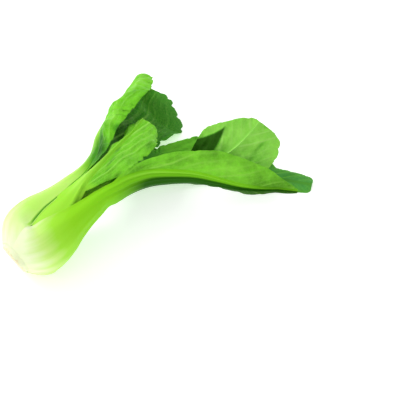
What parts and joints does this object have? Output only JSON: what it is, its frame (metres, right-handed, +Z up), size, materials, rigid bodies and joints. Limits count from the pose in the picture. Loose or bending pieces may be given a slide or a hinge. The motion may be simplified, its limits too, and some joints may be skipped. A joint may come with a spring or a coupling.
{
  "type": "baby bok choy",
  "caption": "Whole baby bok choy lying on its side: a round pale bulb of clasping stalks on a short cut stem, with spread green leaves.",
  "frame": {"origin": "middle of the whole head's box, on the surface that it lies on", "axes": "+Z up; +X along the longest side of the box, towards the tips of the front leaves; the cut stem is at -X -Y and the bulb's axis runs 42 degrees from +X towards +Y"},
  "size_m": [0.217, 0.1716, 0.0525],
  "materials": {
    "stem": "matt cut stem tissue",
    "stalk": "smooth, waxy, white at the base and light green above",
    "blade": "satin leaf, darker on its upper side"
  },
  "bodies": {
    "root": {"stem_base": "stem", "left_leaf_stalk": "stalk", "left_leaf_blade": "blade", "front_leaf_stalk": "stalk", "front_leaf_blade": "blade", "under_leaf_stalk": "stalk", "under_leaf_blade": "blade", "middle_leaf_stalk": "stalk", "middle_leaf_blade": "blade", "back_leaf_stalk": "stalk", "back_leaf_blade": "blade", "side_leaf_stalk": "stalk", "side_leaf_blade": "blade", "heart_leaf_1_stalk": "stalk", "heart_leaf_1_blade": "blade", "heart_leaf_2_stalk": "stalk", "heart_leaf_2_blade": "blade", "heart_leaf_3_stalk": "stalk", "heart_leaf_3_blade": "blade"}
  },
  "joints": []
}
